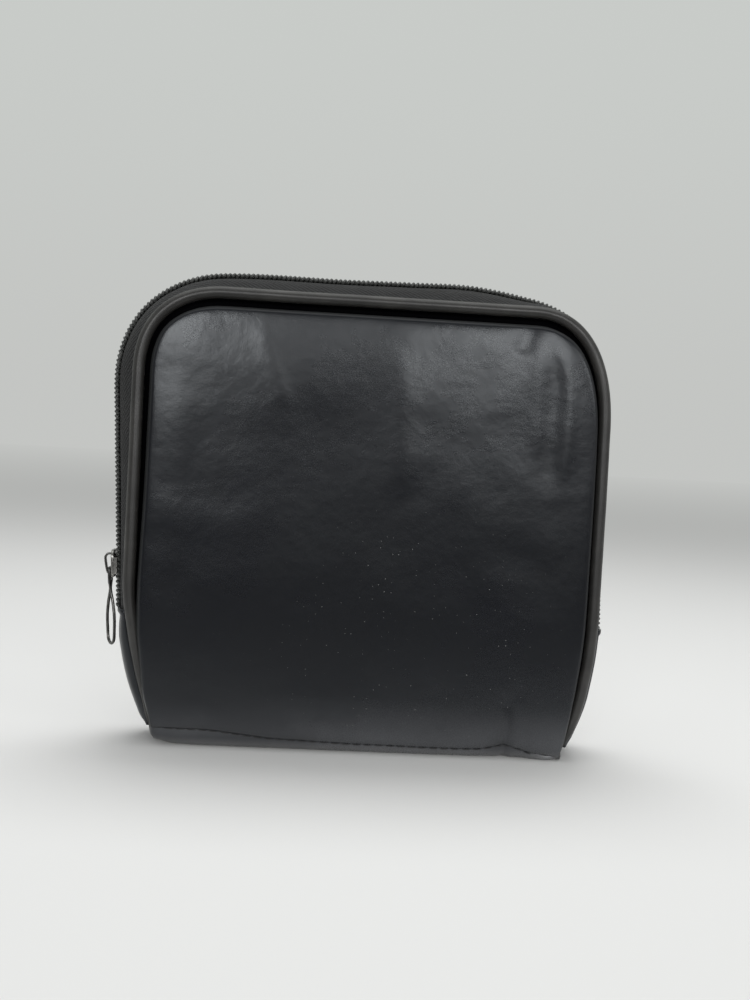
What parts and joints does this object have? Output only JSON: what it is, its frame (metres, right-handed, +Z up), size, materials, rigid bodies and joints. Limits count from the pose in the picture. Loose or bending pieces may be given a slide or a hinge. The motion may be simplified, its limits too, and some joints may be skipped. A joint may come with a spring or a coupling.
{
  "type": "glucose meter case",
  "caption": "Soft zip-round leatherette case for a glucose meter and test kit, closed and standing, with a fold-down front flap, elastic loops and a mesh pocket inside.",
  "frame": {"origin": "centre of the flat underside of the bottom strip, which the case stands on", "axes": "+X across the case with the slider on the -X side, -Y out of the front, +Z up"},
  "size_m": [0.1614, 0.033, 0.149],
  "materials": {
    "leatherette": "semi-gloss",
    "piping_leatherette": "semi-gloss",
    "zip_tape": "matte",
    "zip_coil": "satin",
    "gunmetal": "satin",
    "lining": "matte",
    "elastic": "matte",
    "mesh": "matte",
    "foam": "matte",
    "board": "matte"
  },
  "bodies": {
    "base": {"front_cover_base": "leatherette", "rear_cover": "leatherette", "left_gusset": "leatherette", "right_gusset": "leatherette", "bottom_strip": "leatherette", "front_piping_base_left": "piping_leatherette", "front_piping_base_right": "piping_leatherette", "rear_piping": "piping_leatherette", "rear_zip_tape": "zip_tape", "rear_zip_coil": "zip_coil", "front_lining_base": "lining", "rear_lining": "lining", "bottom_lining": "lining", "left_gusset_lining": "lining", "right_gusset_lining": "lining", "meter_strap": "elastic", "pen_loop_low": "elastic", "pen_loop_high": "elastic", "vial_loop": "elastic", "front_foam_base": "foam", "rear_foam_pad": "foam", "rear_stiffener_board": "board"},
    "front_flap": {"front_cover_flap": "leatherette", "front_foam_flap": "foam", "front_lining_flap": "lining", "front_piping_flap": "piping_leatherette", "front_zip_tape": "zip_tape", "front_zip_coil": "zip_coil", "mesh_pocket": "mesh", "pocket_binding": "elastic"},
    "slider": {"slider_body": "gunmetal", "slider_crown": "gunmetal"},
    "pull": {"pull_wire": "gunmetal"}
  },
  "joints": [
    {"name": "front_flap_fold", "type": "hinge", "parent": "base", "child": "front_flap", "pos_m": [0, -0.017, 0.041], "axis": [1, 0, 0], "range_deg": [0, 105]},
    {"name": "slider_travel", "type": "slide", "parent": "base", "child": "slider", "axis": [-0.057, 0, 0.9984], "range_m": [0, 0.05]},
    {"name": "pull_swing", "type": "hinge", "parent": "slider", "child": "pull", "pos_m": [-0.0808, 0, 0.05343], "axis": [0, 1, 0], "range_deg": [0, 120]}
  ]
}
